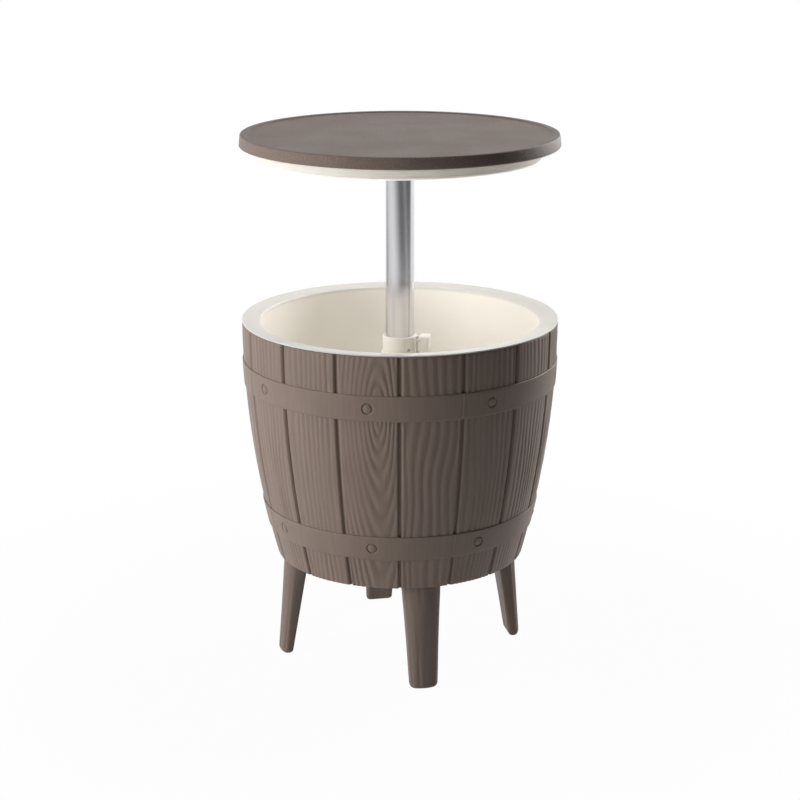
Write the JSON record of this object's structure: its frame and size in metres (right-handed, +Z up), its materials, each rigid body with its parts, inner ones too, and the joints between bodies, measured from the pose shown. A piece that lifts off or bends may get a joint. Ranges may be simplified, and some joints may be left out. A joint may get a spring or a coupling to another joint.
{
  "type": "pop-up cooler",
  "caption": "Barrel-shaped drinks cooler on four legs with a round table top that lifts on a centre column, serves as a side table when raised and as the lid when lowered.",
  "frame": {"origin": "on the floor, on the centre column's axis", "axes": "+Z up along the column; the front leg stands at -Y and the right leg at +X"},
  "size_m": [0.4964, 0.4964, 0.84],
  "materials": {
    "taupe_plastic": "embossed with a wood grain, dull",
    "white_plastic": "smooth with a low sheen",
    "aluminium": "brushed along its length",
    "steel": "bright zinc",
    "rubber": "dull"
  },
  "bodies": {
    "barrel": {"barrel_shell": "taupe_plastic", "leg_front": "taupe_plastic", "leg_right": "taupe_plastic", "leg_back": "taupe_plastic", "leg_left": "taupe_plastic", "liner": "white_plastic", "liner_screw_1": "steel", "liner_screw_2": "steel", "liner_screw_3": "steel", "liner_screw_4": "steel", "drain_fitting": "white_plastic", "drain_washer": "rubber", "drain_nut": "white_plastic", "column_collar": "white_plastic", "collar_screw_1": "steel", "collar_screw_2": "steel", "lever_pin": "steel", "lever_spring": "steel"},
    "table": {"table_top": "taupe_plastic", "lid_cover": "white_plastic", "column_flange": "white_plastic", "flange_screw_1": "steel", "flange_screw_2": "steel", "flange_screw_3": "steel", "flange_screw_4": "steel", "column_tube": "aluminium", "column_foot": "white_plastic", "foot_screw_1": "steel", "foot_screw_2": "steel"},
    "lever": {"lock_lever": "white_plastic"},
    "drain_plug": {"drain_plug": "rubber"}
  },
  "joints": [
    {"name": "table_lift", "type": "slide", "parent": "barrel", "child": "table", "axis": [0, 0, 1], "range_m": [-0.2699, 0]},
    {"name": "lever_flip", "type": "hinge", "parent": "barrel", "child": "lever", "pos_m": [0.03029, -0.01178, 0.5143], "axis": [-0.3624, -0.932, 0], "range_deg": [0, 25], "stiffness_Nm_per_rad": 0.12, "springref_deg": -14.32, "deforming": ["lever_spring"]},
    {"name": "drain_plug_pull", "type": "slide", "parent": "barrel", "child": "drain_plug", "axis": [0, 0, -1], "range_m": [0, 0.025]}
  ]
}
